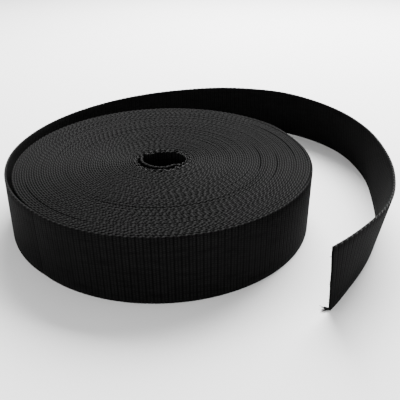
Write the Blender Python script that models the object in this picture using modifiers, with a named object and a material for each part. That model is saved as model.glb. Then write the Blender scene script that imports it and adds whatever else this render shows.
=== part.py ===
"""A roll of heavy black webbing, lying flat, with its outer end loose around it.

The webbing is wound about an oval eye that grows round with the turns. Its outer end
leaves the roll at the front left and stands on its edge round the left side, the back
and the right to a cut end. Its inner end stands off the wall of the eye.
Lengths are in metres and angles in degrees, anticlockwise from +X about the roll's centre.
"""

import math
from collections import namedtuple

import bmesh
import bpy
from mathutils import Vector

# The webbing.
WEBBING_WIDTH = 0.050
WEBBING_THICKNESS = 0.0017
SELVEDGE_ROUNDING = 0.0004

# The wound roll. Each turn adds one thickness and a little air.
TURN_PITCH = 0.00173
ROLL_RADIUS = 0.1132
ROLL_CENTRE = Vector((-0.0277, -0.0315, 0.0))
OUTLINE_STEP = 3.0
EYE_STEP = 6.0

# Where the outer end leaves the roll, and where the inner end leaves the eye's wall.
OUTER_STEP_ANGLE = 226.0
INNER_STEP_ANGLE = 165.0
INNER_STEP_RADIUS = 0.0188

# Stretches that run on from each other in the real roll are drawn this far apart.
SEAT_GAP = 0.0003
OUTER_ROOT_ANGLE = OUTER_STEP_ANGLE - math.degrees(SEAT_GAP / ROLL_RADIUS)
OUTER_ROOT_RADIUS = ROLL_RADIUS - TURN_PITCH + SEAT_GAP + WEBBING_THICKNESS
INNER_ROOT_ANGLE = INNER_STEP_ANGLE + math.degrees(SEAT_GAP / INNER_STEP_RADIUS)
INNER_ROOT_RADIUS = INNER_STEP_RADIUS - SEAT_GAP

# How finely the two loose ends are divided, along and across the webbing.
LOOSE_END_STEP = 2.0
INNER_END_STEP = 6.0
ROWS_ACROSS = 4

# A seam where two turns stand apart: a narrow slot down from the top face.
SEAM_WIDTH = 0.0006
SEAM_DEPTH = 0.0030
SEAM_STEP = 4.0

WALL_COLOUR = (0.0075, 0.0075, 0.0078, 1.0)
EDGE_COLOUR = (0.0270, 0.0270, 0.0275, 1.0)
WEBBING_ROUGHNESS = 0.75

# Wall of the eye. It starts behind the inner end and ends on that end's own turn.
EyeWall = namedtuple("EyeWall", "angle radius")
EYE_CENTRE = Vector((0.0008, -0.0030, 0.0))
EYE_WALL = [
    EyeWall(INNER_STEP_ANGLE - 360.0, INNER_STEP_RADIUS),
    EyeWall(-182.0, 0.0200),
    EyeWall(-160.0, 0.0206),
    EyeWall(-138.0, 0.0205),
    EyeWall(-115.0, 0.0204),
    EyeWall(-98.0, 0.0196),
    EyeWall(-82.0, 0.0190),
    EyeWall(-66.0, 0.0183),
    EyeWall(-52.0, 0.0173),
    EyeWall(-40.0, 0.0167),
    EyeWall(-28.0, 0.0166),
    EyeWall(-9.0, 0.0163),
    EyeWall(12.0, 0.0154),
    EyeWall(36.0, 0.0145),
    EyeWall(56.0, 0.0138),
    EyeWall(77.0, 0.0129),
    EyeWall(103.0, 0.0123),
    EyeWall(128.0, 0.0133),
    EyeWall(148.0, 0.0150),
    EyeWall(INNER_STEP_ANGLE, 0.0167),
]

# The inner end, by its outer face, about the eye's centre. It stands plumb, and bows
# inwards near its tip.
InnerEnd = namedtuple("InnerEnd", "angle radius")
INNER_END = [
    InnerEnd(INNER_ROOT_ANGLE, INNER_ROOT_RADIUS),
    InnerEnd(182.0, 0.0184),
    InnerEnd(200.0, 0.0178),
    InnerEnd(222.0, 0.0169),
    InnerEnd(245.0, 0.0165),
    InnerEnd(262.0, 0.0161),
    InnerEnd(280.0, 0.0156),
    InnerEnd(294.0, 0.0143),
    InnerEnd(306.0, 0.0146),
    InnerEnd(316.0, 0.0164),
]

# The outer end, by the foot of its outer face, about the roll's centre.
# The lean is how far the top edge stands nearer the roll's axis than the foot, and the
# slant is how many degrees the foot falls short of the top edge, as it does at the cut.
LooseEnd = namedtuple("LooseEnd", "angle radius lean slant")
LOOSE_END = [
    LooseEnd(OUTER_ROOT_ANGLE, OUTER_ROOT_RADIUS, 0.0, 0.0),
    LooseEnd(200.0, 0.1175, 0.0015, 0.0),
    LooseEnd(180.0, 0.1220, 0.0025, 0.0),
    LooseEnd(150.0, 0.1310, 0.0030, 0.0),
    LooseEnd(120.0, 0.1475, 0.0040, 0.0),
    LooseEnd(90.0, 0.1750, 0.0065, 0.0),
    LooseEnd(75.0, 0.1935, 0.0085, 0.0),
    LooseEnd(65.0, 0.2025, 0.0095, 0.0),
    LooseEnd(55.0, 0.2095, 0.0110, 0.0),
    LooseEnd(45.0, 0.2095, 0.0125, 0.0),
    LooseEnd(35.0, 0.2050, 0.0125, 0.0),
    LooseEnd(20.0, 0.1895, 0.0070, 0.0),
    LooseEnd(5.0, 0.1740, -0.0005, 0.0),
    LooseEnd(-10.0, 0.1655, -0.0050, 0.0),
    LooseEnd(-25.0, 0.1600, -0.0080, 0.0),
    LooseEnd(-38.0, 0.1585, -0.0050, 0.0),
    LooseEnd(-50.5, 0.1610, 0.0000, 2.0),
]

# Seams that show as dark arcs on the top face, by the stretch of a turn that stands apart.
Seam = namedtuple("Seam", "start end radius")
SEAMS = [
    Seam(-154.0, -111.0, 0.1032),
    Seam(-124.0, -54.0, 0.0781),
    Seam(-27.0, 4.0, 0.0874),
    Seam(0.0, 40.0, 0.1001),
    Seam(64.0, 116.0, 0.0862),
    Seam(70.0, 166.0, 0.0634),
]


def clear_scene():
    for old in list(bpy.data.objects):
        bpy.data.objects.remove(old, do_unlink=True)


def new_collection(name):
    collection = bpy.data.collections.new(name)
    bpy.context.scene.collection.children.link(collection)
    return collection


def webbing_material(name, colour):
    material = bpy.data.materials.new(name)
    material.use_nodes = True
    shader = material.node_tree.nodes["Principled BSDF"]
    shader.inputs["Base Color"].default_value = colour
    shader.inputs["Roughness"].default_value = WEBBING_ROUGHNESS
    shader.inputs["Metallic"].default_value = 0.0
    return material


def polar(angle, radius, height=0.0):
    turn = math.radians(angle)
    return Vector((radius * math.cos(turn), radius * math.sin(turn), height))


def angles_between(start, end, step):
    """Even angles from start to end, about one step apart, with both ends."""
    count = max(2, round(abs(end - start) / step))
    return [start + (end - start) * i / count for i in range(count + 1)]


def smooth_value(table, column, angle):
    """One column of a table at an angle, on a smooth curve through the rows.

    A column that the table doesn't have is zero all along.
    """
    places = [row.angle for row in table]
    values = [getattr(row, column, 0.0) for row in table]
    rising = places[-1] > places[0]
    span = 0
    while span < len(places) - 2 and (angle > places[span + 1]) == rising:
        span += 1

    def slope(i):
        before, after = max(i - 1, 0), min(i + 1, len(places) - 1)
        return (values[after] - values[before]) / (places[after] - places[before])

    width = places[span + 1] - places[span]
    t = (angle - places[span]) / width
    low, high = values[span], values[span + 1]
    curve = (2 * t**3 - 3 * t**2 + 1) * low + (3 * t**2 - 2 * t**3) * high
    return curve + width * ((t**3 - 2 * t**2 + t) * slope(span) + (t**3 - t**2) * slope(span + 1))


def wound_radius(angle):
    """Outer face of the last wound turn, from the step on, one pitch less a turn later."""
    return ROLL_RADIUS - TURN_PITCH * (angle - OUTER_STEP_ANGLE + 360.0) / 360.0


def roll_outline():
    angles = angles_between(OUTER_STEP_ANGLE - 360.0, OUTER_STEP_ANGLE, OUTLINE_STEP)
    return [polar(angle, wound_radius(angle)) for angle in angles]


def eye_outline():
    angles = angles_between(INNER_STEP_ANGLE - 360.0, INNER_STEP_ANGLE, EYE_STEP)
    return [EYE_CENTRE + polar(angle, smooth_value(EYE_WALL, "radius", angle)) for angle in angles]


def add_outline(curve, points):
    spline = curve.splines.new("POLY")
    spline.points.add(len(points) - 1)
    for target, point in zip(spline.points, points):
        target.co = (point.x, point.y, 0.0, 1.0)
    spline.use_cyclic_u = True


def mesh_from_curve(curve_object, name, collection):
    """The curve's own solid as a mesh with its caps welded on. The curve is removed."""
    bpy.context.view_layer.update()
    evaluated = curve_object.evaluated_get(bpy.context.evaluated_depsgraph_get())
    mesh = bpy.data.meshes.new_from_object(evaluated)
    mesh.name = name
    bm = bmesh.new()
    bm.from_mesh(mesh)
    bmesh.ops.remove_doubles(bm, verts=bm.verts, dist=0.00001)
    bmesh.ops.recalc_face_normals(bm, faces=bm.faces)
    bm.to_mesh(mesh)
    bm.free()
    solid = bpy.data.objects.new(name, mesh)
    solid.matrix_world = curve_object.matrix_world
    collection.objects.link(solid)
    bpy.data.objects.remove(curve_object, do_unlink=True)
    return solid


def sections_along(table, centre, step):
    """Foot and head of the outer face at even angles, for webbing that stands on its edge."""
    sections = []
    for angle in angles_between(min(table).angle, max(table).angle, step):
        foot_radius = smooth_value(table, "radius", angle)
        lean = smooth_value(table, "lean", angle)
        slant = smooth_value(table, "slant", angle)
        # A leaning strip keeps its width and stands on the lower corner of its edge.
        rise = math.sqrt(WEBBING_WIDTH**2 - lean**2)
        lift = WEBBING_THICKNESS * max(0.0, lean / WEBBING_WIDTH)
        foot = centre + polar(angle + slant, foot_radius, lift)
        head = centre + polar(angle, foot_radius - lean, lift + rise)
        sections.append((foot, head))
    return sections


def standing_sheet(name, collection, sections, rows, thickness):
    """An open sheet through the sections, anticlockwise, thickened towards its inner side."""
    bm = bmesh.new()
    columns = []
    for foot, head in sections:
        columns.append([bm.verts.new(foot.lerp(head, row / rows)) for row in range(rows + 1)])
    for near, far in zip(columns, columns[1:]):
        for row in range(rows):
            bm.faces.new((near[row], far[row], far[row + 1], near[row + 1]))
    mesh = bpy.data.meshes.new(name)
    bm.to_mesh(mesh)
    bm.free()
    mesh.shade_smooth()
    sheet = bpy.data.objects.new(name, mesh)
    sheet.parent = roll_centre
    collection.objects.link(sheet)
    solidify = sheet.modifiers.new("thickness", "SOLIDIFY")
    solidify.thickness = thickness
    solidify.use_even_offset = True
    return sheet


def round_selvedges(piece):
    """The webbing's woven edges are slightly round."""
    bevel = piece.modifiers.new("selvedge", "BEVEL")
    bevel.width = SELVEDGE_ROUNDING
    bevel.segments = 1
    bevel.limit_method = "ANGLE"
    bevel.angle_limit = math.radians(40.0)
    bevel.harden_normals = True


def wound_roll():
    """The wound turns as one solid, with the eye through it and the open seams cut in its top."""
    outline = bpy.data.curves.new("wound_outline", "CURVE")
    outline.dimensions = "2D"
    outline.fill_mode = "BOTH"
    outline.extrude = WEBBING_WIDTH / 2
    add_outline(outline, roll_outline())
    add_outline(outline, eye_outline())
    flat = bpy.data.objects.new("wound_outline", outline)
    webbing_roll.objects.link(flat)
    roll = mesh_from_curve(flat, "wound_roll", webbing_roll)
    roll.parent = roll_centre
    roll.location.z = WEBBING_WIDTH / 2
    roll.data.shade_smooth()
    roll.data.materials.append(webbing_material("wound_webbing", EDGE_COLOUR))
    round_selvedges(roll)
    for number, seam in enumerate(SEAMS, start=1):
        cut_seam(roll, number, seam)


def cut_seam(roll, number, seam):
    sections = []
    for angle in angles_between(seam.start, seam.end, SEAM_STEP):
        radius = seam.radius - TURN_PITCH * (angle - seam.start) / 360.0
        foot = polar(angle, radius, WEBBING_WIDTH - SEAM_DEPTH)
        sections.append((foot, foot + Vector((0.0, 0.0, 2 * SEAM_DEPTH))))
    cutter = standing_sheet(f"seam_cutter_{number}", cutters, sections, 1, SEAM_WIDTH)
    cutter.hide_render = True
    cutter.display_type = "WIRE"
    cut = roll.modifiers.new(f"seam_{number}", "BOOLEAN")
    cut.operation = "DIFFERENCE"
    cut.object = cutter


def loose_end():
    """The outer end of the webbing, from the step in the roll's side to the cut."""
    sections = sections_along(LOOSE_END, Vector(), LOOSE_END_STEP)
    sheet = standing_sheet("loose_end", webbing_roll, sections, ROWS_ACROSS, WEBBING_THICKNESS)
    sheet.data.materials.append(webbing_material("loose_webbing", WALL_COLOUR))
    round_selvedges(sheet)


def inner_end():
    """The inner end of the webbing, which stands off the wall of the eye."""
    sections = sections_along(INNER_END, EYE_CENTRE, INNER_END_STEP)
    sheet = standing_sheet("inner_end", webbing_roll, sections, ROWS_ACROSS, WEBBING_THICKNESS)
    sheet.data.materials.append(webbing_material("inner_webbing", WALL_COLOUR))
    round_selvedges(sheet)


clear_scene()
webbing_roll = new_collection("roll_of_webbing")
cutters = new_collection("cutters")
cutters.hide_render = True

roll_centre = bpy.data.objects.new("roll_centre", None)
roll_centre.location = ROLL_CENTRE
webbing_roll.objects.link(roll_centre)

wound_roll()
loose_end()
inner_end()
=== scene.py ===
# %% [markdown]
# This lesson dresses a roll of heavy black webbing. The roll lies flat with an oval eye in its
# middle, and its outer end stands loose on its edge around the left, the back and the right.
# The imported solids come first, as a fixed frame. They give every place and size, and the looks
# are then built on them, in metres, without moving any of them.

# %% Load the frame
import math

import bpy
import numpy as np
from mathutils import Matrix, Vector


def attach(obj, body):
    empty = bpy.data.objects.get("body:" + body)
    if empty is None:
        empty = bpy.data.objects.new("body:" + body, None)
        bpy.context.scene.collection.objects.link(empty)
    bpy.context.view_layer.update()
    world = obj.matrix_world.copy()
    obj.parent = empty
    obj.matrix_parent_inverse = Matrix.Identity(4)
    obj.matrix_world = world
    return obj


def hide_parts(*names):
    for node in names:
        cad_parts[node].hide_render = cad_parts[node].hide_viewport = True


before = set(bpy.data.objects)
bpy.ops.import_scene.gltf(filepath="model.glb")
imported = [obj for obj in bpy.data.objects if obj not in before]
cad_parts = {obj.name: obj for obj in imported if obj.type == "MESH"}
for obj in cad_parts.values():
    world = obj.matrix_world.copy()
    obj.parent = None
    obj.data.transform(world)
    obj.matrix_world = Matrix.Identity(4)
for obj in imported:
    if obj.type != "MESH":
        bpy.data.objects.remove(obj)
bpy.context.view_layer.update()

solid_names = sorted(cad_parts)
print("solids in the frame:", solid_names)

# %% [markdown]
# The camera comes before anything else, so that each piece can be judged in it. In Blender a
# camera looks down its own -Z axis. Turning it up about X sets how far it looks down, and a
# small turn about its own Z axis afterwards tilts the picture. The lens is as long as the
# perspective of the round top face asks for, on a picture that is as high as it is wide.

# %% Camera
CAMERA_PLACE = Vector((-0.0001, -0.3985, 0.2153))
LOOK_DOWN = math.radians(29.05)
PICTURE_TILT = math.radians(-0.51)
LENS_MM = 47.1

camera_data = bpy.data.cameras.new("camera")
camera_data.sensor_width = 36.0
camera_data.sensor_fit = "HORIZONTAL"
camera_data.lens = LENS_MM
camera_data.clip_start = 0.01
camera_data.clip_end = 50.0
camera = bpy.data.objects.new("camera", camera_data)
bpy.context.scene.collection.objects.link(camera)
look_down = Matrix.Rotation(math.pi / 2 - LOOK_DOWN, 4, "X")
tilt = Matrix.Rotation(PICTURE_TILT, 4, "Z")
camera.matrix_world = Matrix.Translation(CAMERA_PLACE) @ look_down @ tilt
bpy.context.scene.camera = camera
print("camera looks down by", round(math.degrees(LOOK_DOWN), 2), "degrees")

# %% [markdown]
# Black cloth shows its weave only in soft light. The main softbox stands above and behind the
# roll, so that the woven edges on the top face catch light while the walls stay dark. A weaker
# one in front and a faint one on each side lift the walls, and an even pale world fills the
# rest. An area light in Blender shines along its own -Z axis, so each softbox is turned to face
# the roll. The floor is one plain pale sheet.

# %% Floor and light
FLOOR_SIZE = 12.0
FLOOR_COLOUR = (0.90, 0.90, 0.90, 1.0)
FLOOR_ROUGHNESS = 0.9
PLAIN_SPECULAR = 0.1
WORLD_STRENGTH = 0.85


def plain_material(name, colour, roughness):
    material = bpy.data.materials.new(name)
    material.use_nodes = True
    shader = material.node_tree.nodes["Principled BSDF"]
    shader.inputs["Base Color"].default_value = colour
    shader.inputs["Roughness"].default_value = roughness
    shader.inputs["Specular IOR Level"].default_value = PLAIN_SPECULAR
    return material


def add_softbox(name, place, target, size, power):
    light = bpy.data.lights.new(name, "AREA")
    light.shape = "RECTANGLE"
    light.size, light.size_y = size
    light.energy = power
    softbox = bpy.data.objects.new(name, light)
    softbox.location = place
    direction = Vector(target) - Vector(place)
    softbox.rotation_euler = direction.to_track_quat("-Z", "Y").to_euler()
    bpy.context.scene.collection.objects.link(softbox)


floor_mesh = bpy.data.meshes.new("floor")
half_floor = FLOOR_SIZE / 2
corner_signs = ((-1, -1), (1, -1), (1, 1), (-1, 1))
floor_corners = [(x * half_floor, y * half_floor, 0.0) for x, y in corner_signs]
floor_mesh.from_pydata(floor_corners, [], [(0, 1, 2, 3)])
floor_mesh.materials.append(plain_material("pale_floor", FLOOR_COLOUR, FLOOR_ROUGHNESS))
floor = bpy.data.objects.new("floor", floor_mesh)
bpy.context.scene.collection.objects.link(floor)

add_softbox("softbox_above", place=(0.3, 0.8, 0.95), target=(0.0, 0.0, 0.0), size=(1.0, 0.8), power=84.0)
add_softbox("softbox_left", place=(-1.2, -0.2, 0.6), target=(0.0, 0.0, 0.05), size=(0.6, 0.9), power=1.0)
add_softbox("softbox_front", place=(-0.3, -1.5, 0.5), target=(0.0, 0.0, 0.03), size=(1.2, 0.6), power=10.0)
add_softbox("softbox_right", place=(1.2, 0.0, 0.6), target=(0.0, 0.0, 0.05), size=(0.6, 0.9), power=1.0)

world = bpy.data.worlds.new("pale_world")
world.use_nodes = True
background = world.node_tree.nodes["Background"]
background.inputs["Color"].default_value = (1.0, 1.0, 1.0, 1.0)
background.inputs["Strength"].default_value = WORLD_STRENGTH
bpy.context.scene.world = world
print("lights:", [item.name for item in bpy.data.lights])

# %% [markdown]
# The whole roll is one length of webbing, so one set of sizes serves all of it. The thick weft
# makes ribs that run up the width. Every second rib turns round the woven edge, the selvedge,
# as a slanted loop, and these loops are the small light strokes that cover the top face. A
# finer bead shows between them at each rib. Everything below is measured along the webbing from
# the step where the outer end leaves the roll: the loose end lies at negative lengths and the
# wound turns at positive ones. A slant says how many loops or beads the wave shifts through the
# thickness, and the mesh gets a few sections for each rib or loop.

# %% Sizes of the webbing
WEBBING_WIDTH = 0.050
WEBBING_THICKNESS = 0.0017
RIB_PITCH = 0.00223
RIB_DEPTH = 0.00020
LOOP_PITCH = 2 * RIB_PITCH
LOOP_SLANT = 0.76
BEAD_SLANT = -0.30
STROKE_SHARE = 0.65
LOOP_RISE = 0.00052
LOOP_BULGE = 0.00008
LOOP_CREEP = 0.0022
YARN_PITCH = 0.0015
SECTIONS_PER_LOOP = 8
SECTIONS_PER_RIB = 6

print("one loop of the selvedge takes", round(LOOP_PITCH * 1000, 2), "mm")

# %% [markdown]
# The eye is the oval hole that the webbing was wound about. Its wall could be a drawn curve,
# but a short table of angles and radii is easier to read and to change, and a smooth curve
# through its rows gives the places between. The wall is then measured about the roll's own
# centre, because the turns around it wind about that one.

# %% Wall of the eye
ROLL_CENTRE = np.array([-0.0277, -0.0315, 0.0])
EYE_CENTRE = np.array([0.0008, -0.0030])
EYE_WALL = np.array([  # degrees about the eye's centre, and radius in millimetres
    (-195, 18.8), (-182, 20.0), (-160, 20.6), (-138, 20.5), (-115, 20.4), (-98, 19.6), (-82, 19.0),
    (-66, 18.3), (-52, 17.3), (-40, 16.7), (-28, 16.6), (-9, 16.3), (12, 15.4), (36, 14.5),
    (56, 13.8), (77, 12.9), (103, 12.3), (128, 13.3), (148, 15.0), (165, 16.7),
])
WALL_SAMPLES = 721


def smooth_value(places, values, where):
    """Values between the rows of a table, on a smooth curve through them."""
    places, values = np.asarray(places, float), np.asarray(values, float)
    rows = np.arange(len(places))
    before, after = np.maximum(rows - 1, 0), np.minimum(rows + 1, len(rows) - 1)
    slopes = (values[after] - values[before]) / (places[after] - places[before])
    span = np.clip(np.searchsorted(places, where) - 1, 0, len(rows) - 2)
    width = places[span + 1] - places[span]
    t = (where - places[span]) / width
    rising = 3 * t**2 - 2 * t**3
    bend = (t**3 - 2 * t**2 + t) * slopes[span] + (t**3 - t**2) * slopes[span + 1]
    return (1 - rising) * values[span] + rising * values[span + 1] + width * bend


def smooth_step(value, low, high):
    t = np.clip((value - low) / (high - low), 0.0, 1.0)
    return 3 * t**2 - 2 * t**3


wall_angles = np.radians(np.linspace(EYE_WALL[0, 0], EYE_WALL[-1, 0], WALL_SAMPLES))
wall_radii = smooth_value(EYE_WALL[:, 0], EYE_WALL[:, 1] / 1000, np.degrees(wall_angles))
wall_x = EYE_CENTRE[0] + wall_radii * np.cos(wall_angles)
wall_y = EYE_CENTRE[1] + wall_radii * np.sin(wall_angles)
wall_turn = np.degrees(np.unwrap(np.arctan2(wall_y, wall_x)))
wall_turn += 360.0 * round((wall_angles[-1] / math.pi * 180 - wall_turn[-1]) / 360.0)
wall_distance = np.hypot(wall_x, wall_y)
print("eye's wall from the roll's centre, mm:", round(wall_distance.min() * 1000, 1), "to",
      round(wall_distance.max() * 1000, 1))

# %% [markdown]
# The turns form a spiral. It starts on the round outside of the roll and ends on the wall of
# the eye, which is oval and sits a little off the centre. Drawing 55 rings and joining them
# would leave 55 joints, so the spiral is one formula instead. The radius shrinks evenly with
# the total turn, from the outer radius towards the wall of the eye in the same direction. Two
# neighbours a full turn apart then share one border, and nothing can overlap. The wall ends
# about one thickness nearer to the middle than it starts, and the last third of a turn takes
# that jump up.

# %% Radius of the spiral
ROLL_RADIUS = 0.1132
OUTER_STEP_ANGLE = -134.0
FULL_TURNS = 54
JUMP_DEGREES = 120.0
BESIDE_JUMP = 0.01
FRONT_AND_BACK = (-90.0, 90.0)

INNER_STEP_ANGLE = wall_turn[-1]
SPIRAL_TURN = INNER_STEP_ANGLE - OUTER_STEP_ANGLE + 360.0 * FULL_TURNS
WALL_TURN_END = SPIRAL_TURN + 360.0


def eye_target(turn):
    """Where the spiral is heading in this direction, so that its last turn is the eye's wall."""
    angle = (turn + OUTER_STEP_ANGLE - INNER_STEP_ANGLE) % 360.0 + INNER_STEP_ANGLE - 360.0
    on_wall = SPIRAL_TURN + angle - (INNER_STEP_ANGLE - 360.0)
    distance = np.interp(angle, wall_turn, wall_distance)
    target = ROLL_RADIUS - (ROLL_RADIUS - distance) * WALL_TURN_END / on_wall
    return target, (angle - INNER_STEP_ANGLE + 360.0) / 360.0


beside_step = np.array([SPIRAL_TURN + BESIDE_JUMP, WALL_TURN_END - BESIDE_JUMP])
after_step, before_step = eye_target(beside_step)[0]
TARGET_JUMP = after_step - before_step


def border_radius(turn):
    """Radius of the border between two neighbours, at a total turn in degrees from the step."""
    target, share = eye_target(turn)
    target = target - TARGET_JUMP * (1 - share)
    rising = smooth_step(turn, SPIRAL_TURN - JUMP_DEGREES, SPIRAL_TURN)
    lifted = np.where(turn < SPIRAL_TURN, rising, 1 - share)
    return ROLL_RADIUS - (ROLL_RADIUS - target) * turn / WALL_TURN_END + TARGET_JUMP * lifted


first_turns = np.array(FRONT_AND_BACK) - OUTER_STEP_ANGLE
pitches = border_radius(first_turns) - border_radius(first_turns + 360.0)
print("turns:", round(SPIRAL_TURN / 360, 2))
print("pitch at the front and the back, mm:", [round(float(pitch) * 1000, 3) for pitch in pitches])

# %% [markdown]
# A real roll is never wound evenly. Here and there a turn stands off its neighbour and leaves
# a dark arc, and the turns nearest the eye are slack. Six of the ten arcs are the seams that
# the solids have, and four more show only here. The rest is a smooth wander between seeded
# random values, which comes out the same on every run. Each wander has its own knot step in
# degrees and its own seed. Distances to the eye are given as degrees of turn still to go.

# %% Gaps and unevenness of the turns
TIGHT_GAP = 0.00004
LOOSER_GAP = 0.00012
ARC_GAP = 0.00052
EYE_GAP = 0.00085
EYE_SLACKNESS = 0.55
EYE_SLACK_FROM = 1700.0
EYE_SLACK_FULL = 500.0
GAP_WANDER = (47.0, 3)
SLACK_WANDER = (13.0, 8)
ARC_FADE_OUTSIDE = 6.0
ARC_FADE_INSIDE = 8.0
GAP_ARCS = [  # start and end in degrees about the roll's centre, radius in millimetres
    (-154, -111, 103.2), (-124, -54, 78.1), (-27, 4, 87.4), (0, 40, 100.1), (64, 116, 86.2),
    (70, 166, 63.4), (-4, 52, 109.6), (-54, -20, 77.0), (-20, 20, 74.8), (44, 104, 111.5),
]


def wander(turn, knot_step, seed):
    """A smooth random walk between -1 and 1 along the spiral."""
    knots = np.arange(-360.0, WALL_TURN_END + 2 * knot_step + 360.0, knot_step)
    values = np.random.default_rng(seed).uniform(-1.0, 1.0, len(knots))
    position = (turn - knots[0]) / knot_step
    low = np.floor(position).astype(int)
    share = smooth_step(position - low, 0.0, 1.0)
    return values[low] * (1 - share) + values[low + 1] * share


def arc_start(angle, radius):
    """Total turn of the border that lies nearest to a radius, in the direction of an angle."""
    turns = (angle - OUTER_STEP_ANGLE) % 360.0 + 360.0 * np.arange(FULL_TURNS)
    return turns[np.argmin(abs(border_radius(turns) - radius))]


def nearing_eye(turn, first, full):
    """0 up to the first distance from the spiral's end, and 1 from the full one on."""
    return smooth_step(turn, SPIRAL_TURN - first, SPIRAL_TURN - full)


def border_gap(turn):
    """Width of the air between two neighbours at their shared border."""
    gap = TIGHT_GAP + LOOSER_GAP * np.maximum(0.0, wander(turn, *GAP_WANDER))
    slackness = EYE_SLACKNESS + EYE_SLACKNESS * wander(turn, *SLACK_WANDER)
    gap = gap + EYE_GAP * slackness * nearing_eye(turn, EYE_SLACK_FROM, EYE_SLACK_FULL)
    for start, end, radius in GAP_ARCS:
        first = arc_start(start, radius / 1000)
        last = first + end - start
        opened = smooth_step(turn, first - ARC_FADE_OUTSIDE, first + ARC_FADE_INSIDE)
        closed = smooth_step(-turn, -last - ARC_FADE_OUTSIDE, -last + ARC_FADE_INSIDE)
        gap = gap + ARC_GAP * opened * closed
    return gap


print("dark arcs between turns:", len(GAP_ARCS))

# %% [markdown]
# One cross-section serves every stretch. It runs up the outer face, over the selvedge, down
# the inner face and back under the foot. Faces that show get many rows and hidden ones get
# two. The ribs are pressed into the faces and the slanted loops into the selvedge, as real
# geometry, so the scalloped outline holds from any side. Each point also keeps its place on
# the webbing (how far along, how far up, how deep), and the materials read that to weave.

# %% Cross-section of the webbing
SHOULDER = 0.0007
FOOT_CORNER = 0.0004
BULGE_ZONE = 0.004
SECOND_GROOVE_CUT = 0.3
FACE_ROWS = 10
HIDDEN_ROWS = 2
CROWN = [(0.13, 0.00044, 0.9), (0.52, 0.0, 1.0), (0.87, 0.00040, 0.9)]  # depth, drop, loop share


def cross_section(outer_rows, inner_rows):
    """Columns of height, depth, face and loop share for the points round one section.

    Face is 1 on the outer face, -1 on the inner face and 0 on both edges.
    """
    top = WEBBING_WIDTH - SHOULDER
    rows = [(height, 0.0, 1.0, 0.0) for height in np.linspace(FOOT_CORNER, top, outer_rows)]
    rows += [(WEBBING_WIDTH - drop, depth, 0.0, share) for depth, drop, share in CROWN]
    rows += [(height, 1.0, -1.0, 0.0) for height in np.linspace(top, FOOT_CORNER, inner_rows)]
    rows += [(0.0, 0.5, 0.0, 0.0)]
    return np.array(rows).T


def loop_wave(along, depth):
    """1 on the crest of a selvedge loop and 0 in the hollow between two loops."""
    stroke = 0.5 - 0.5 * np.cos(2 * math.pi * (along / LOOP_PITCH - LOOP_SLANT * depth))
    bead = 0.5 - 0.5 * np.cos(2 * math.pi * (along / RIB_PITCH - BEAD_SLANT * depth))
    return STROKE_SHARE * stroke**2 + (1 - STROKE_SHARE) * bead


def rib_groove(along):
    """1 in the groove between two ribs and 0 on the back of a rib, each second groove shallower."""
    groove = 1 - abs(np.sin(math.pi * along / RIB_PITCH))
    alternating = np.cos(math.pi * along / RIB_PITCH)
    return groove * (1 - SECOND_GROOVE_CUT + SECOND_GROOVE_CUT * alternating)


def woven_points(along, foot, up, inward, thickness, extra_height, section):
    """Points of a stretch of webbing, as sections by points by 3, and their places on it."""
    height, depth, face, loop_share = (column[None, :] for column in section)
    along, thickness, extra_height = along[:, None], thickness[:, None], extra_height[:, None]
    loops = loop_wave(along, depth) - 0.5
    rise = height + extra_height * height / WEBBING_WIDTH + loop_share * LOOP_RISE * loops
    ribs = face * RIB_DEPTH * rib_groove(along)
    near_top = smooth_step(height, WEBBING_WIDTH - BULGE_ZONE, WEBBING_WIDTH - SHOULDER)
    bulge = -face * near_top * LOOP_BULGE * loops
    sideways = depth * thickness + ribs + bulge
    points = foot[:, None] + up[:, None] * rise[..., None] + inward[:, None] * sideways[..., None]
    places = np.stack(np.broadcast_arrays(along, height + 0 * along, depth), axis=-1)
    return points, places


print("points round a wound section:", cross_section(HIDDEN_ROWS, HIDDEN_ROWS).shape[1])

# %% [markdown]
# The sections are joined into one closed mesh. Lists of quads between neighbouring rings are
# quick to work out with numpy, and from_pydata takes them as they are. Both ends are closed
# with one face each. The places go in as a vector attribute on the points, which survives
# in the mesh and can be read in a material by its name.

# %% Make a mesh from the sections
PLACE_NAME = "webbing_place"


def add_webbing(name, points, places, material):
    """One object from rings of points, with closed ends."""
    sections, around = points.shape[:2]
    ring, along = np.meshgrid(np.arange(around), np.arange(sections - 1))
    here, beside = along * around + ring, along * around + (ring + 1) % around
    quads = np.stack([here, here + around, beside + around, beside], axis=-1).reshape(-1, 4)
    faces = quads.tolist()
    faces.append(list(range(around)))
    faces.append(list(range(sections * around - 1, (sections - 1) * around - 1, -1)))
    mesh = bpy.data.meshes.new(name)
    mesh.from_pydata((points + ROLL_CENTRE).reshape(-1, 3).tolist(), [], faces)
    attribute = mesh.attributes.new(PLACE_NAME, "FLOAT_VECTOR", "POINT")
    attribute.data.foreach_set("vector", places.astype(np.float32).ravel())
    mesh.shade_smooth()
    mesh.materials.append(material)
    webbing = bpy.data.objects.new(name, mesh)
    bpy.context.scene.collection.objects.link(webbing)
    print(name, "has", sum(len(face) - 2 for face in faces), "triangles")
    return webbing


# %% [markdown]
# The materials share three effects, so each effect is a node group, built once. A group is a
# small material of its own with named inputs and outputs, and it holds only masks and heights.
# Building node trees from Python means making each node and linking its sockets. Five small
# helpers keep that short: one feeds a socket, one adds a math node, one adds a smooth step, one
# opens a new group and one takes a vector apart.

# %% Helpers for node trees


def feed(tree, socket, value):
    """Links another socket to this one, or sets it to a plain value."""
    if isinstance(value, bpy.types.NodeSocket):
        tree.links.new(value, socket)
    else:
        socket.default_value = value


def calc(tree, operation, *values):
    node = tree.nodes.new("ShaderNodeMath")
    node.operation = operation
    for socket, value in zip(node.inputs, values):
        feed(tree, socket, value)
    return node.outputs[0]


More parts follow.
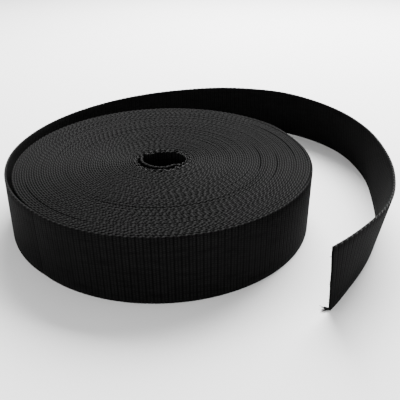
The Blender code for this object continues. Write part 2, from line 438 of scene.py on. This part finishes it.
def step_between(tree, value, low, high):
    node = tree.nodes.new("ShaderNodeMapRange")
    node.interpolation_type = "SMOOTHSTEP"
    feed(tree, node.inputs["Value"], value)
    feed(tree, node.inputs["From Min"], low)
    feed(tree, node.inputs["From Max"], high)
    return node.outputs["Result"]


def new_group(name, inputs, outputs):
    """A shader node group. Inputs are name: default, and a default of None makes a vector."""
    tree = bpy.data.node_groups.new(name, "ShaderNodeTree")
    for label, default in inputs.items():
        kind = "NodeSocketVector" if default is None else "NodeSocketFloat"
        socket = tree.interface.new_socket(label, in_out="INPUT", socket_type=kind)
        if default is not None:
            socket.default_value = default
    for label in outputs:
        tree.interface.new_socket(label, in_out="OUTPUT", socket_type="NodeSocketFloat")
    entry = tree.nodes.new("NodeGroupInput")
    leave = tree.nodes.new("NodeGroupOutput")
    return tree, entry.outputs, leave.inputs


def separate(tree, vector):
    node = tree.nodes.new("ShaderNodeSeparateXYZ")
    tree.links.new(vector, node.inputs[0])
    return node.outputs


print("helpers for node trees are ready")

# %% [markdown]
# The faces are woven. The weft ribs run up the width, and the warp yarns that cover them show
# as small floats, set in brick order from one rib to the next. A sine of the length along the
# webbing gives the ribs, and a sine of the height gives the yarns, shifted by half a yarn on
# every second rib. Both are masks from 0 in a groove to nearly 1 on a yarn, and the material
# darkens the grooves and the gaps between yarns with them, as painted shade. Every second groove
# is drawn a little wider, as the weave pulls the ribs together in pairs.

# %% Node group for the woven face
PAIRED_RIBS = 0.15


def woven_face_group():
    inputs = {"Place": None, "Rib Pitch": RIB_PITCH, "Yarn Pitch": YARN_PITCH}
    tree, given, result = new_group("woven_face", inputs, ["Rib", "Yarn"])
    along, across, _ = separate(tree, given["Place"])
    rib_count = calc(tree, "DIVIDE", along, given["Rib Pitch"])
    rib_angle = calc(tree, "MULTIPLY", rib_count, math.pi)
    rib = calc(tree, "ABSOLUTE", calc(tree, "SINE", rib_angle))
    widened = calc(tree, "MULTIPLY_ADD", calc(tree, "COSINE", rib_angle), PAIRED_RIBS, PAIRED_RIBS)
    rib = calc(tree, "MAXIMUM", calc(tree, "SUBTRACT", rib, widened), 0.0)
    every_second = calc(tree, "PINGPONG", calc(tree, "FLOOR", rib_count), 1.0)
    yarn_count = calc(tree, "DIVIDE", across, given["Yarn Pitch"])
    shifted = calc(tree, "MULTIPLY_ADD", every_second, 0.5, yarn_count)
    yarn = calc(tree, "ABSOLUTE", calc(tree, "SINE", calc(tree, "MULTIPLY", shifted, math.pi)))
    tree.links.new(rib, result["Rib"])
    tree.links.new(yarn, result["Yarn"])
    return tree


woven_face = woven_face_group()
print("node group:", woven_face.name)

# %% [markdown]
# The selvedge is painted lighter than the faces: partly for its looser, fuzzier yarn, and partly
# as painted highlight, because its loops are rounder and catch the light from above. The same two
# slanted waves that shape the loops in the mesh draw them here, so colour and form agree, and the
# material paints the hollows between the loops darker, as painted shade. The edge mask also
# reaches a little further down where a loop wraps over the corner, which gives the border
# between edge and face its scallops.

# %% Node group for the selvedge loops
LOOP_REACH = 0.0004
REACH_FADE = (-0.00015, 0.0002)
LOOP_FADE = (0.05, 0.95)


def selvedge_group():
    inputs = {
        "Place": None, "Loop Pitch": LOOP_PITCH, "Loop Slant": LOOP_SLANT, "Stroke Share": STROKE_SHARE,
        "Bead Pitch": RIB_PITCH, "Bead Slant": BEAD_SLANT, "Width": WEBBING_WIDTH,
    }
    tree, given, result = new_group("selvedge_loops", inputs, ["Edge", "Loop"])
    along, across, depth = separate(tree, given["Place"])

    def slanted_wave(pitch, slant):
        count = calc(tree, "DIVIDE", along, pitch)
        lag = calc(tree, "MULTIPLY", depth, slant)
        angle = calc(tree, "MULTIPLY", calc(tree, "SUBTRACT", count, lag), 2 * math.pi)
        return calc(tree, "MULTIPLY_ADD", calc(tree, "COSINE", angle), -0.5, 0.5)

    stroke = calc(tree, "POWER", slanted_wave(given["Loop Pitch"], given["Loop Slant"]), 2.0)
    bead = slanted_wave(given["Bead Pitch"], given["Bead Slant"])
    more = calc(tree, "MULTIPLY", calc(tree, "SUBTRACT", stroke, bead), given["Stroke Share"])
    wave = calc(tree, "ADD", bead, more)
    from_top = calc(tree, "SUBTRACT", given["Width"], across)
    from_edge = calc(tree, "MINIMUM", from_top, across)
    reach = calc(tree, "MULTIPLY_ADD", wave, LOOP_REACH, LOOP_REACH)
    inside = calc(tree, "SUBTRACT", reach, from_edge)
    tree.links.new(step_between(tree, inside, *REACH_FADE), result["Edge"])
    tree.links.new(step_between(tree, wave, *LOOP_FADE), result["Loop"])
    return tree


selvedge_loops = selvedge_group()
print("node group:", selvedge_loops.name)

# %% [markdown]
# Spun yarn is a bundle of fine fibres, and no two stretches of it are quite alike. A noise that
# is drawn out along the yarn gives the fibres, a second, broad one makes some stretches a shade
# lighter, and a third makes streaks as long and as wide as a material asks for. Noise in
# Blender takes a vector, so the place is divided by the size of one grain in each direction.

# %% Node group for the fibres
GRAINS_THROUGH = 4.0
FIBRE_DETAIL = 2.0
BROAD_DETAIL = 1.0


def fibre_group():
    inputs = {
        "Place": None, "Fibre Length": 0.0016, "Fibre Width": 0.00022, "Patch Size": 0.035,
        "Streak Width": 0.0024, "Streak Height": 0.020,
    }
    tree, given, result = new_group("yarn_fibres", inputs, ["Fibre", "Patch", "Streak"])
    along, across, depth = separate(tree, given["Place"])

    def noise(length, width, detail):
        vector = tree.nodes.new("ShaderNodeCombineXYZ")
        feed(tree, vector.inputs[0], calc(tree, "DIVIDE", along, length))
        feed(tree, vector.inputs[1], calc(tree, "DIVIDE", across, width))
        feed(tree, vector.inputs[2], calc(tree, "MULTIPLY", depth, GRAINS_THROUGH))
        texture = tree.nodes.new("ShaderNodeTexNoise")
        texture.inputs["Scale"].default_value = 1.0
        texture.inputs["Detail"].default_value = detail
        tree.links.new(vector.outputs[0], texture.inputs["Vector"])
        return texture.outputs[0]

    fibre = noise(given["Fibre Length"], given["Fibre Width"], FIBRE_DETAIL)
    patch = noise(given["Patch Size"], given["Patch Size"], BROAD_DETAIL)
    streak = noise(given["Streak Width"], given["Streak Height"], BROAD_DETAIL)
    tree.links.new(fibre, result["Fibre"])
    tree.links.new(patch, result["Patch"])
    tree.links.new(streak, result["Streak"])
    return tree


yarn_fibres = fibre_group()
print("node group:", yarn_fibres.name)

# %% [markdown]
# Greys, mixes and placed groups come up many times in the materials, so each is a helper. A
# grey is one number on all three channels. A mix goes from one colour to another by a mask, and
# a placed group is a copy of one of the three effects with its own values.

# %% Helpers for colours


def grey(value):
    return (value, value, value, 1.0)


def mix_colours(tree, share, low, high):
    node = tree.nodes.new("ShaderNodeMix")
    node.data_type = "RGBA"
    feed(tree, node.inputs[0], share)
    feed(tree, node.inputs[6], low)
    feed(tree, node.inputs[7], high)
    return node.outputs[2]


def place_group(tree, group, place, **values):
    """Puts a group into a tree. Values are named as its sockets, with _ for each space."""
    node = tree.nodes.new("ShaderNodeGroup")
    node.node_tree = group
    tree.links.new(place, node.inputs["Place"])
    for label, value in values.items():
        node.inputs[label.replace("_", " ")].default_value = value
    return node.outputs


print("a mid grey is", grey(0.18))

# %% [markdown]
# The webbing material puts the groups together. Faces are near black, with grooves and the gaps
# between yarns painted darker than the yarns, as painted shade, and faint rows along the webbing.
# The selvedge mixes from a dark hollow, painted shade between the loops, to a lighter loop.
# Where it stands open to the light, near the eye and near the cut, a painted highlight makes the
# crests of the loops lighter still. A stretch that has slipped down lies in shade, and its loops
# are painted darker, as painted shade.
# The heights of yarns and fibres go through a Bump node, since they are too fine to model. Dyed
# cloth has almost no gloss, so the roughness is high and the specular level is low.

# %% Webbing material
BUMP_DISTANCE = 0.00012
FIBRE_HEIGHT = 0.35
YARN_HEIGHT = 0.6
# Grey of the painted highlight on loop crests where the edge stands open to the light.
HIGHLIGHT_LOOP_GREY = 0.050
CREST_POWER = 3.0
SHADE_FADE = (0.03, -0.01)
SPECULAR_LEVEL = 0.03
SHEEN_WEIGHT = 0.003
SHEEN_ROUGHNESS = 0.5
ROUGHNESS_BY_FIBRE = (-0.2, 0.9)  # this pair and the ones below: what a full mask adds, and the base
YARN_SHADE = (1.2, 0.1)
PATCH_SHADE = (0.5, 0.75)
FIBRE_SHADE = (1.6, 0.2)
STREAK_SHADE = (1.6, 0.2)
ROW_SHADE = (2.4, -0.2)


def product(tree, first, *others):
    for other in others:
        first = calc(tree, "MULTIPLY", first, other)
    return first


def webbing_material(name, groove, yarn, hollow, loop, highlight_lengths, shaded=None):
    """Webbing with its own greys, from the darkest groove to the lightest loop.

    The first pair of lengths is where the edge comes into the open and its loop crests get a
    painted highlight, and shaded gives the lengths between which it lies in shade and its loops
    are painted darker.
    """
    material = bpy.data.materials.new(name)
    material.use_nodes = True
    tree = material.node_tree
    shader = tree.nodes["Principled BSDF"]
    attribute = tree.nodes.new("ShaderNodeAttribute")
    attribute.attribute_name = PLACE_NAME
    place = attribute.outputs["Vector"]
    along = separate(tree, place)[0]
    face = place_group(tree, woven_face, place)
    edge = place_group(tree, selvedge_loops, place)
    fibre = place_group(tree, yarn_fibres, place)
    rows = place_group(tree, yarn_fibres, place, Streak_Width=0.016, Streak_Height=0.0020)

    patchy = calc(tree, "MULTIPLY_ADD", fibre["Patch"], *PATCH_SHADE)
    fibrous = calc(tree, "MULTIPLY_ADD", fibre["Fibre"], *FIBRE_SHADE)
    streaky = calc(tree, "MULTIPLY_ADD", fibre["Streak"], *STREAK_SHADE)
    rowed = calc(tree, "MULTIPLY_ADD", rows["Streak"], *ROW_SHADE)
    yarns = calc(tree, "MULTIPLY_ADD", face["Yarn"], *YARN_SHADE)
    face_light = product(tree, face["Rib"], yarns, patchy, fibrous, rowed)
    # Painted shade: the grooves and the gaps between yarns get the darker groove grey.
    face_colour = mix_colours(tree, face_light, grey(groove), grey(yarn))

    edge_shade = product(tree, patchy, fibrous, streaky)
    edge_light = product(tree, edge["Loop"], edge_shade)
    if shaded:
        past_start = calc(tree, "SUBTRACT", along, shaded[0])
        before_end = calc(tree, "SUBTRACT", shaded[1], along)
        inside = calc(tree, "MINIMUM", past_start, before_end)
        edge_light = product(tree, edge_light, step_between(tree, inside, *SHADE_FADE))
    # Painted shade: the hollows between the loops get the darker hollow grey.
    edge_colour = mix_colours(tree, edge_light, grey(hollow), grey(loop))
    # Painted highlight: where the edge stands open to the light, the loop crests turn lighter.
    highlight_zone = step_between(tree, along, *highlight_lengths)
    crest = calc(tree, "POWER", edge["Loop"], CREST_POWER)
    crest_highlight = product(tree, crest, edge_shade, highlight_zone)
    edge_colour = mix_colours(tree, crest_highlight, edge_colour, grey(HIGHLIGHT_LOOP_GREY))
    # The selvedge is painted lighter than the faces: partly its fuzzier yarn, partly painted highlight.
    colour = mix_colours(tree, edge["Edge"], face_colour, edge_colour)
    tree.links.new(colour, shader.inputs["Base Color"])

    bump = tree.nodes.new("ShaderNodeBump")
    bump.inputs["Distance"].default_value = BUMP_DISTANCE
    yarn_height = calc(tree, "MULTIPLY", face["Yarn"], YARN_HEIGHT)
    height = calc(tree, "MULTIPLY_ADD", fibre["Fibre"], FIBRE_HEIGHT, yarn_height)
    tree.links.new(height, bump.inputs["Height"])
    tree.links.new(bump.outputs["Normal"], shader.inputs["Normal"])
    roughness = calc(tree, "MULTIPLY_ADD", fibre["Fibre"], *ROUGHNESS_BY_FIBRE)
    tree.links.new(roughness, shader.inputs["Roughness"])
    shader.inputs["Specular IOR Level"].default_value = SPECULAR_LEVEL
    shader.inputs["Sheen Weight"].default_value = SHEEN_WEIGHT
    shader.inputs["Sheen Roughness"].default_value = SHEEN_ROUGHNESS
    return material


# In each material the groove and hollow greys are painted shade, and the pair of lengths after them marks
# where the loop crests get a painted highlight: the last turns round the eye, and the loose end near its
# cut.
wound_material = webbing_material(
    "wound_webbing_black", groove=0.0005, yarn=0.0054, hollow=0.0014, loop=0.0185,
    highlight_lengths=(21.75, 21.87), shaded=(0.205, 0.325),
)
loose_material = webbing_material(
    "loose_webbing_black", groove=0.0005, yarn=0.0036, hollow=0.003, loop=0.022,
    highlight_lengths=(-0.58, -0.66),
)
print("materials:", wound_material.name, loose_material.name)

# %% [markdown]
# Now the wound webbing is laid along the spiral. Its length is measured on a fine sampling of
# the middle line, and sections are then placed at even lengths, so that ribs and loops keep
# their size from the first turn to the last. Any place where the webbing is cut into pieces is
# rounded to the groove between two loops, so that no loop is split.

# %% Measure the spiral
SPIRAL_SAMPLES = 200001

spiral_turns = np.linspace(0.0, SPIRAL_TURN, SPIRAL_SAMPLES)
middle_radius = (border_radius(spiral_turns) + border_radius(spiral_turns + 360.0)) / 2
middle_angle = np.radians(spiral_turns + OUTER_STEP_ANGLE)
middle_x = middle_radius * np.cos(middle_angle)
middle_y = middle_radius * np.sin(middle_angle)
pieces_of_length = np.hypot(np.diff(middle_x), np.diff(middle_y))
spiral_lengths = np.concatenate([[0.0], np.cumsum(pieces_of_length)])
WOUND_LENGTH = math.floor(spiral_lengths[-1] / LOOP_PITCH) * LOOP_PITCH
print("wound length, m:", round(WOUND_LENGTH, 2))


def length_at(turn):
    """Length along the webbing at a total turn, rounded to the groove between two loops."""
    return round(float(np.interp(turn, spiral_turns, spiral_lengths)) / LOOP_PITCH) * LOOP_PITCH


# %% [markdown]
# The selvedges of a real roll don't stand level. They rise and fall a little from turn to turn,
# and more so in the slack turns round the eye, where the loops also stand up higher. About
# 0.2 m on from the step, a stretch of the outermost turn has slipped down a little. All of this
# only lifts or lowers the top edge, so it is one formula of the turn and of the length, made of
# the same seeded wanders as the gaps.

# %% Unevenness of the selvedge
HEIGHT_CHANGE = 0.00016
HEIGHT_WANDER = (95.0, 11)
FINE_CHANGE = 0.00010
FINE_WANDER = (31.0, 12)
EYE_CHANGE = 0.0007
EYE_WANDER = (9.0, 14)
EYE_CHANGE_FROM = 1000.0
EYE_CHANGE_FULL = 500.0
EYE_LOOP_RISE = 0.0010
EYE_LOOPS_FULL = 900.0
SLIP_START = 0.195
SLIP_END = 0.335
SLIP_DEPTH = 0.0014
SLIP_FADE = 0.04


def selvedge_height(turn, along):
    """How far the selvedge stands above or below the webbing's width."""
    height = HEIGHT_CHANGE * wander(turn, *HEIGHT_WANDER) + FINE_CHANGE * wander(turn, *FINE_WANDER)
    near_eye = nearing_eye(turn, EYE_CHANGE_FROM, EYE_CHANGE_FULL)
    height += EYE_CHANGE * wander(turn, *EYE_WANDER) * near_eye
    slipping = smooth_step(along, SLIP_START, SLIP_START + SLIP_FADE)
    recovering = smooth_step(-along, -SLIP_END, SLIP_FADE - SLIP_END)
    height -= SLIP_DEPTH * slipping * recovering
    slack_loops = nearing_eye(turn, EYE_SLACK_FROM, EYE_LOOPS_FULL)
    height += EYE_LOOP_RISE * slack_loops * (loop_wave(along, 0.5) - 0.5)
    return height


level_sample = selvedge_height(spiral_turns, spiral_lengths)
print("selvedge stands from", round(level_sample.min() * 1000, 2), "to",
      round(level_sample.max() * 1000, 2), "mm off its level")

# %% [markdown]
# Each piece of the spiral rides on the roll's one body and stands in for the wound solid. Where
# the spiral is tight the cloth is squeezed a little, and where it is slack it keeps its own
# thickness and moves over from the outer neighbour to the inner one. The spiral is cut into a
# few pieces to keep every mesh at a handy size. The first turn carries ribs on the face that
# shows, the last one on the wall of the eye. Hidden faces get two rows of points only.

# %% Lay the wound turns
CREEP_WANDER = (50.0, 4)
CREEP_FROM = 60.0
CREEP_FULL = 420.0
WOUND_PIECES = 4


def wound_stretch(name, start, end, spacing, outer_rows, inner_rows):
    """The webbing of the spiral between two lengths along it."""
    along = np.linspace(start, end, round((end - start) / spacing) + 1)
    turn = np.interp(along, spiral_lengths, spiral_turns)
    outer = border_radius(turn) - border_gap(turn) / 2
    inner = border_radius(turn + 360.0) + border_gap(turn + 360.0) / 2
    thickness = np.minimum(outer - inner, WEBBING_THICKNESS)
    slack = outer - inner - thickness
    radius = outer - slack * turn / SPIRAL_TURN
    angle = np.radians(turn + OUTER_STEP_ANGLE)
    outward = np.stack([np.cos(angle), np.sin(angle), 0 * angle], axis=-1)
    up = np.zeros_like(outward)
    up[:, 2] = 1.0
    section = cross_section(outer_rows, inner_rows)
    creep = LOOP_CREEP * wander(turn, *CREEP_WANDER) * smooth_step(turn, CREEP_FROM, CREEP_FULL)
    foot = outward * radius[:, None]
    height = selvedge_height(turn, along)
    points, places = woven_points(along + creep, foot, up, -outward, thickness, height, section)
    stretch = add_webbing(name, points, places, wound_material)
    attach(stretch, "root")
    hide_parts("wound_roll")


FIRST_TURN_END = length_at(360.0)
LAST_TURN_START = length_at(SPIRAL_TURN - 360.0)
rib_spacing = RIB_PITCH / SECTIONS_PER_RIB
loop_spacing = LOOP_PITCH / SECTIONS_PER_LOOP
loops_between = round((LAST_TURN_START - FIRST_TURN_END) / LOOP_PITCH)
loops_before = [round(loops_between * i / WOUND_PIECES) for i in range(WOUND_PIECES + 1)]
cuts = [FIRST_TURN_END + LOOP_PITCH * count for count in loops_before]

wound_stretch("outer_turn", 0.0, FIRST_TURN_END, rib_spacing, FACE_ROWS, HIDDEN_ROWS)
for number, (start, end) in enumerate(zip(cuts, cuts[1:]), start=1):
    wound_stretch(f"wound_turns_{number}", start, end, loop_spacing, HIDDEN_ROWS, HIDDEN_ROWS)
wound_stretch("eye_turn", LAST_TURN_START, WOUND_LENGTH, rib_spacing, HIDDEN_ROWS, FACE_ROWS)

# %% [markdown]
# The outer end hangs on to the roll only at its root, and stands on its edge in one long
# curve. Its table gives, in the direction of each angle, how far out the foot of its outer
# face stands and how far its top edge leans in towards the roll. Cloth that leans keeps its
# width, so the top comes lower. At the cut, the foot falls a little short of the top edge. The
# path is measured along the middle of the face, and sections are placed at even lengths on it.

# %% Path of the loose end
PATH_SAMPLES = 8001
LOOSE_END = np.array([  # degrees about the roll's centre, foot radius, lean in mm, slant in degrees
    (-50.5, 161.0, 0.0, 2), (-38, 158.5, -5.0, 0), (-25, 160.0, -8.0, 0), (-10, 165.5, -5.0, 0),
    (5, 174.0, -0.5, 0), (20, 189.5, 7.0, 0), (35, 205.0, 12.5, 0), (45, 209.5, 12.5, 0),
    (55, 209.5, 11.0, 0), (65, 202.5, 9.5, 0), (75, 193.5, 8.5, 0), (90, 175.0, 6.5, 0),
    (120, 147.5, 4.0, 0), (150, 131.0, 3.0, 0), (180, 122.0, 2.5, 0), (200, 117.5, 1.5, 0),
    (226, 113.2, 0, 0),
])


def on_circle(angle, radius, height, centre):
    turn = np.radians(angle)
    x = centre[0] + radius * np.cos(turn)
    y = centre[1] + radius * np.sin(turn)
    return np.stack([x, y, height], axis=-1)


def standing_path(table, centre, angles):
    """Foot and head of the outer face of webbing that stands on its edge."""
    radius = smooth_value(table[:, 0], table[:, 1] / 1000, angles)
    lean = smooth_value(table[:, 0], table[:, 2] / 1000, angles)
    slant = smooth_value(table[:, 0], table[:, 3], angles)
    rise = np.sqrt(WEBBING_WIDTH**2 - lean**2)
    lift = WEBBING_THICKNESS * np.maximum(0.0, lean / WEBBING_WIDTH)
    foot = on_circle(angles + slant, radius, lift, centre)
    head = on_circle(angles, radius - lean, lift + rise, centre)
    return foot, head


def even_path(table, centre, ends_at_zero, spacing, start=0.0):
    """Lengths, feet and heads at even lengths along a standing path."""
    angles = np.linspace(table[0, 0], table[-1, 0], PATH_SAMPLES)
    foot, head = standing_path(table, centre, angles)
    middle = (foot + head) / 2
    steps = np.linalg.norm(np.diff(middle, axis=0), axis=1)
    travelled = np.concatenate([[0.0], np.cumsum(steps)])
    count = math.floor(travelled[-1] / spacing)
    if ends_at_zero:
        along = np.linspace(-count * spacing, 0.0, count + 1)
        where = travelled[-1] + along
    else:
        along = start + np.linspace(0.0, count * spacing, count + 1)
        where = along - start
    foot, head = standing_path(table, centre, np.interp(where, travelled, angles))
    return along, foot, head


loose_along, loose_foot, loose_head = even_path(LOOSE_END, (0.0, 0.0), True, rib_spacing)

# %% [markdown]
# The loose end uses the same cross-section as the wound turns, with rows on both faces, because
# both of them show. The way up is from foot to head, the way along is the step from one
# section to the next, and their cross product points out of the outer face. The cut was made
# with shears, so the points of the last section are moved along the webbing a little, each by
# its own seeded amount.

# %% Build the loose end
RAGGED_CUT = 0.00045
RAGGED_RANGE = (-1.0, 0.3)
RAGGED_SEED = 21


def standing_webbing(name, along, foot, head, material, ragged_at):
    """Webbing on its edge, with ribs on both faces and one ragged, cut end."""
    up = head - foot
    up /= np.linalg.norm(up, axis=1, keepdims=True)
    forward = np.gradient((foot + head) / 2, axis=0)
    outward = np.cross(forward, up)
    outward /= np.linalg.norm(outward, axis=1, keepdims=True)
    thickness = np.full_like(along, WEBBING_THICKNESS)
    section = cross_section(FACE_ROWS, FACE_ROWS)
    points, places = woven_points(along, foot, up, -outward, thickness, 0 * along, section)
    jitter = np.random.default_rng(RAGGED_SEED).uniform(*RAGGED_RANGE, section.shape[1])
    beside_cut = 1 if ragged_at == 0 else ragged_at - 1
    step = points[ragged_at] - points[beside_cut]
    step /= np.linalg.norm(step, axis=1, keepdims=True)
    points[ragged_at] += step * (RAGGED_CUT * jitter)[:, None]
    return add_webbing(name, points, places, material)


loose_webbing = standing_webbing(
    "loose_webbing", loose_along, loose_foot, loose_head, loose_material, ragged_at=0
)
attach(loose_webbing, "root")
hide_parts("loose_end")

# %% [markdown]
# The inner end is the first thing that was wound. It has sprung off the wall of the eye and
# stands free as a short curved flap, which bows in near its tip. Its table is measured about
# the eye's own centre, and it carries on from the last wound turn. It stands plumb, so its
# leans and slants are all 0, and the path and the mesh are made as those of the outer end.

# %% Build the inner end
INNER_END = np.array([  # degrees about the eye's centre, radius in millimetres, lean, slant
    (166, 18.5, 0, 0), (182, 18.4, 0, 0), (200, 17.8, 0, 0), (222, 16.9, 0, 0), (245, 16.5, 0, 0),
    (262, 16.1, 0, 0), (280, 15.6, 0, 0), (294, 14.3, 0, 0), (306, 14.6, 0, 0), (316, 16.4, 0, 0),
])
inner_along, inner_foot, inner_head = even_path(
    INNER_END, EYE_CENTRE, False, rib_spacing, WOUND_LENGTH
)
inner_webbing = standing_webbing(
    "inner_webbing", inner_along, inner_foot, inner_head, loose_material, ragged_at=-1
)
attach(inner_webbing, "root")
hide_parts("inner_end")

# %% [markdown]
# Cut webbing frays, and each yarn end that stands out of the cut is a thin bent tube. A curve
# object for each would do, but joined tubes in one mesh are lighter: for each yarn, five rings
# of four points are placed along a bent line, getting thinner towards the tip.

# %% One frayed yarn
YARN_RADIUS = 0.00016
YARN_TAPER = 0.6
YARN_CURL = 0.18
RINGS_PER_YARN = 5
SIDES_PER_YARN = 4
LOWEST_POINT = 0.0001
NEARLY_UP = (0.1, 0.2, 0.97)


def yarn_rings(root, direction, length, droop, random, thick=YARN_RADIUS):
    """Rings of points along one bent, tapering yarn."""
    share = np.linspace(0.0, 1.0, RINGS_PER_YARN)[:, None]
    curl = random.normal(0.0, YARN_CURL, 3)
    middle = root + length * (share * direction + share**2 * curl)
    middle[:, 2] -= droop * length * share[:, 0] ** 2
    side = np.cross(direction, NEARLY_UP)
    side /= np.linalg.norm(side)
    other = np.cross(direction, side)
    other /= np.linalg.norm(other)
    turn = np.linspace(0.0, 2 * math.pi, SIDES_PER_YARN, endpoint=False)
    around = np.cos(turn)[:, None] * side + np.sin(turn)[:, None] * other
    radius = thick * (1.0 - YARN_TAPER * share)
    rings = middle[:, None] + around[None] * radius[:, None]
    rings[..., 2] = np.maximum(rings[..., 2], LOWEST_POINT)
    return rings


def add_yarns(name, yarns, material):
    vertices, faces = [], []
    for rings in yarns:
        first = len(vertices)
        vertices += rings.reshape(-1, 3).tolist()
        for ring in range(RINGS_PER_YARN - 1):
            for side in range(SIDES_PER_YARN):
                a = first + ring * SIDES_PER_YARN + side
                b = first + ring * SIDES_PER_YARN + (side + 1) % SIDES_PER_YARN
                faces.append((a, b, b + SIDES_PER_YARN, a + SIDES_PER_YARN))
        faces.append(tuple(first + side for side in reversed(range(SIDES_PER_YARN))))
        last = first + (RINGS_PER_YARN - 1) * SIDES_PER_YARN
        faces.append(tuple(last + side for side in range(SIDES_PER_YARN)))
    mesh = bpy.data.meshes.new(name)
    mesh.from_pydata(vertices, [], faces)
    mesh.shade_smooth()
    mesh.materials.append(material)
    yarn_object = bpy.data.objects.new(name, mesh)
    bpy.context.scene.collection.objects.link(yarn_object)
    print(name, "has", len(yarns), "yarn ends")
    return yarn_object


print("points in one yarn:", RINGS_PER_YARN * SIDES_PER_YARN)

# %% [markdown]
# Short yarn ends stand out of the cut all the way up, and a small tuft of longer, thicker ones
# has worked loose at its foot. The short ones start just inside the webbing and go the way that
# it runs, and the tuft points to one side. Each yarn turns off by a seeded amount of its own.
# Their black comes from the same fibre group, which here reads the place on the object itself,
# because a yarn has no place on the webbing.

# %% Frayed yarns at the cut
FRAY_SEED = 5
FRAY_MARGINS = (0.0006, 0.0004)
FRAY_DEPTHS = (0.2, 0.8)
FRAY_SUNK = 0.0006
FRAY_SPREAD = 0.28
FRAY_LENGTHS = (0.0008, 0.0019)
FRAY_DROOP = 0.1
TUFT_YARNS = 44
TUFT_YARN_RADIUS = 0.00030
TUFT_LENGTH = 0.0052
TUFT_SHORTEST = 0.35
TUFT_DIRECTION = np.array([-0.92, 0.10, 0.22])
TUFT_SPREAD = 0.08
TUFT_HEIGHTS = (0.0003, 0.0018)
TUFT_DEPTHS = (0.0003, 0.0014)
TUFT_DROOP = 0.3
YARN_GREY = 0.006
YARN_GREYS = (0.003, 0.012)
YARN_ROUGHNESS = 0.9


def spread_from(direction, spread, random):
    """A direction near the given one."""
    turned = direction + random.normal(0.0, spread, 3)
    return turned / np.linalg.norm(turned)


def frayed_cut():
    random = np.random.default_rng(FRAY_SEED)
    foot, head = loose_foot[0] + ROLL_CENTRE, loose_head[0] + ROLL_CENTRE
    up = (head - foot) / np.linalg.norm(head - foot)
    rib_on = SECTIONS_PER_RIB
    backward = (loose_foot[0] - loose_foot[rib_on]) + (loose_head[0] - loose_head[rib_on])
    backward /= np.linalg.norm(backward)
    inward = np.cross(up, -backward)
    yarns = []
    for height in np.arange(FRAY_MARGINS[0], WEBBING_WIDTH - FRAY_MARGINS[1], YARN_PITCH / 2):
        depth = random.uniform(*FRAY_DEPTHS) * WEBBING_THICKNESS
        root = foot + up * height + inward * depth - backward * FRAY_SUNK
        direction = spread_from(backward, FRAY_SPREAD, random)
        length = random.uniform(*FRAY_LENGTHS)
        yarns.append(yarn_rings(root, direction, length, FRAY_DROOP, random))
    tuft_direction = TUFT_DIRECTION / np.linalg.norm(TUFT_DIRECTION)
    for _ in range(TUFT_YARNS):
        root = foot + up * random.uniform(*TUFT_HEIGHTS) + inward * random.uniform(*TUFT_DEPTHS)
        direction = spread_from(tuft_direction, TUFT_SPREAD, random)
        length = TUFT_LENGTH * random.uniform(TUFT_SHORTEST, 1.0)
        yarns.append(yarn_rings(root, direction, length, TUFT_DROOP, random, TUFT_YARN_RADIUS))
    return yarns


def yarn_material():
    """Loose black yarn, with fibres from a fine noise on the object itself."""
    material = plain_material("frayed_yarn_black", grey(YARN_GREY), YARN_ROUGHNESS)
    tree = material.node_tree
    shader = tree.nodes["Principled BSDF"]
    coordinates = tree.nodes.new("ShaderNodeTexCoord")
    fibre = place_group(tree, yarn_fibres, coordinates.outputs["Object"])
    darkest, lightest = YARN_GREYS
    colour = mix_colours(tree, fibre["Fibre"], grey(darkest), grey(lightest))
    tree.links.new(colour, shader.inputs["Base Color"])
    return material


frayed_yarns = add_yarns("frayed_yarns", frayed_cut(), yarn_material())
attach(frayed_yarns, "root")
